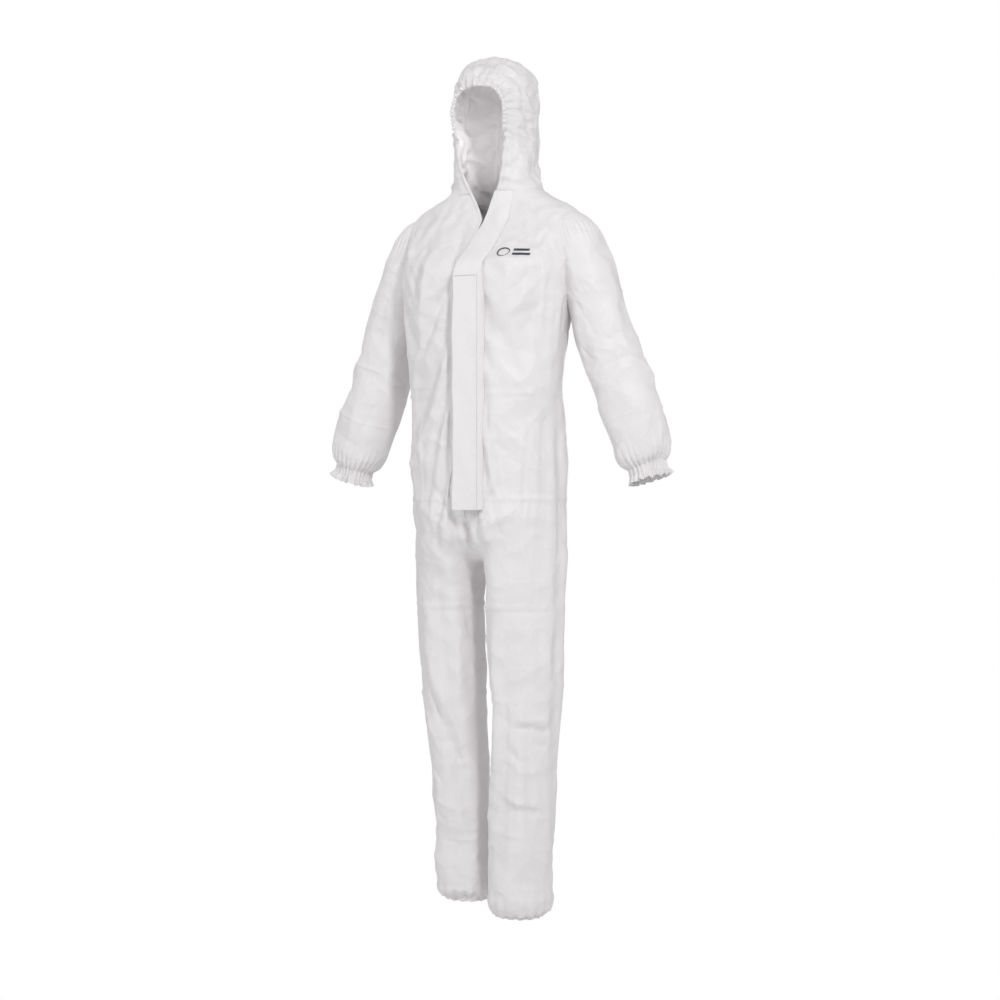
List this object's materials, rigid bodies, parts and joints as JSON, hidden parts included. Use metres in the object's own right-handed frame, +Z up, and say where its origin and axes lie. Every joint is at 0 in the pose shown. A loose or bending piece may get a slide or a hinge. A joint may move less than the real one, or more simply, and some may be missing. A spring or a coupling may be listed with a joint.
{
  "type": "hooded protective coverall",
  "caption": "White hooded disposable coverall, filled out as worn, with a zipped front under a storm flap, elastic hood edge, cuffs and ankles.",
  "frame": {"origin": "on the floor plane under the middle of the suit's bounding box", "axes": "+Z up towards the hood, front towards -Y, wearer's left towards +X"},
  "size_m": [0.7534, 0.2878, 1.74],
  "materials": {
    "cloth": "matte white laminated nonwoven, lightly embossed",
    "gather": "the same laminate, gathered",
    "elastic": "covered elastic",
    "tape": "woven zip tape",
    "teeth": "moulded nylon coil",
    "metal": "painted die-cast zip slider",
    "adhesive": "double-sided adhesive tape",
    "liner": "release liner",
    "mark": "flat grey print"
  },
  "bodies": {
    "trunk": {"front_left": "cloth", "front_right": "cloth", "seat_panel": "cloth", "waist_band": "cloth", "back_panel": "cloth", "crotch_gusset": "cloth", "collar": "gather", "zip_tape_left": "tape", "zip_tape_right": "tape", "zip_teeth_left": "teeth", "zip_teeth_right": "teeth", "zip_bottom_stop": "metal", "flap_base": "cloth", "chin_flap": "cloth", "chest_mark": "mark"},
    "hood": {"hood_left": "cloth", "hood_middle": "cloth", "hood_right": "cloth", "face_elastic": "elastic"},
    "flap": {"storm_flap": "cloth", "adhesive_strip": "adhesive", "release_liner": "liner"},
    "slider": {"zip_slider": "metal"},
    "pull": {"zip_pull": "metal"},
    "thigh_left": {"hip_left": "cloth", "thigh_left": "cloth"},
    "shin_left": {"knee_left": "cloth", "shin_left": "cloth", "ankle_hem_left": "cloth"},
    "upper_arm_left": {"shoulder_left": "cloth", "upper_sleeve_left": "cloth"},
    "forearm_left": {"elbow_left": "cloth", "forearm_left": "cloth", "cuff_elastic_left": "cloth", "cuff_frill_left": "cloth"},
    "thigh_right": {"hip_right": "cloth", "thigh_right": "cloth"},
    "shin_right": {"knee_right": "cloth", "shin_right": "cloth", "ankle_hem_right": "cloth"},
    "upper_arm_right": {"shoulder_right": "cloth", "upper_sleeve_right": "cloth"},
    "forearm_right": {"elbow_right": "cloth", "forearm_right": "cloth", "cuff_elastic_right": "cloth", "cuff_frill_right": "cloth"}
  },
  "joints": [
    {"name": "hood_fold", "type": "hinge", "parent": "trunk", "child": "hood", "pos_m": [0, 0.125, 1.475], "axis": [-1, 0, 0], "range_deg": [0, 100], "deforming": ["collar"]},
    {"name": "flap_open", "type": "hinge", "parent": "trunk", "child": "flap", "pos_m": [0.04, -0.1415, 0.816], "axis": [0, 0, 1], "range_deg": [0, 150]},
    {"name": "zip_slide", "type": "slide", "parent": "trunk", "child": "slider", "axis": [0, 0, 1], "range_m": [-0.385, 0]},
    {"name": "pull_swing", "type": "hinge", "parent": "slider", "child": "pull", "pos_m": [0, -0.1373, 1.267], "axis": [-1, 0, 0], "range_deg": [0, 8]},
    {"name": "hip_bend_left", "type": "hinge", "parent": "trunk", "child": "thigh_left", "pos_m": [0.091, 0.02, 0.86], "axis": [-1, 0, 0], "range_deg": [-8, 50], "deforming": ["hip_left"]},
    {"name": "knee_bend_left", "type": "hinge", "parent": "thigh_left", "child": "shin_left", "pos_m": [0.08, 0.00162, 0.405], "axis": [1, 0, 0], "range_deg": [0, 80], "deforming": ["knee_left"]},
    {"name": "shoulder_lift_left", "type": "hinge", "parent": "trunk", "child": "upper_arm_left", "pos_m": [0.178, 0.036, 1.355], "axis": [0, -1, 0], "range_deg": [-2, 65], "deforming": ["shoulder_left"]},
    {"name": "elbow_bend_left", "type": "hinge", "parent": "upper_arm_left", "child": "forearm_left", "pos_m": [0.26526, 0.036, 1.09421], "axis": [-0.9483, 0, -0.3173], "range_deg": [0, 85], "deforming": ["elbow_left"]},
    {"name": "hip_bend_right", "type": "hinge", "parent": "trunk", "child": "thigh_right", "pos_m": [-0.091, 0.02, 0.86], "axis": [-1, 0, 0], "range_deg": [-8, 50], "deforming": ["hip_right"]},
    {"name": "knee_bend_right", "type": "hinge", "parent": "thigh_right", "child": "shin_right", "pos_m": [-0.08, 0.03137, 0.405], "axis": [1, 0, 0], "range_deg": [0, 80], "deforming": ["knee_right"]},
    {"name": "shoulder_lift_right", "type": "hinge", "parent": "trunk", "child": "upper_arm_right", "pos_m": [-0.178, 0.036, 1.355], "axis": [0, 1, 0], "range_deg": [-2, 65], "deforming": ["shoulder_right"]},
    {"name": "elbow_bend_right", "type": "hinge", "parent": "upper_arm_right", "child": "forearm_right", "pos_m": [-0.26526, 0.036, 1.09421], "axis": [-0.9483, 0, 0.3173], "range_deg": [0, 85], "deforming": ["elbow_right"]}
  ]
}
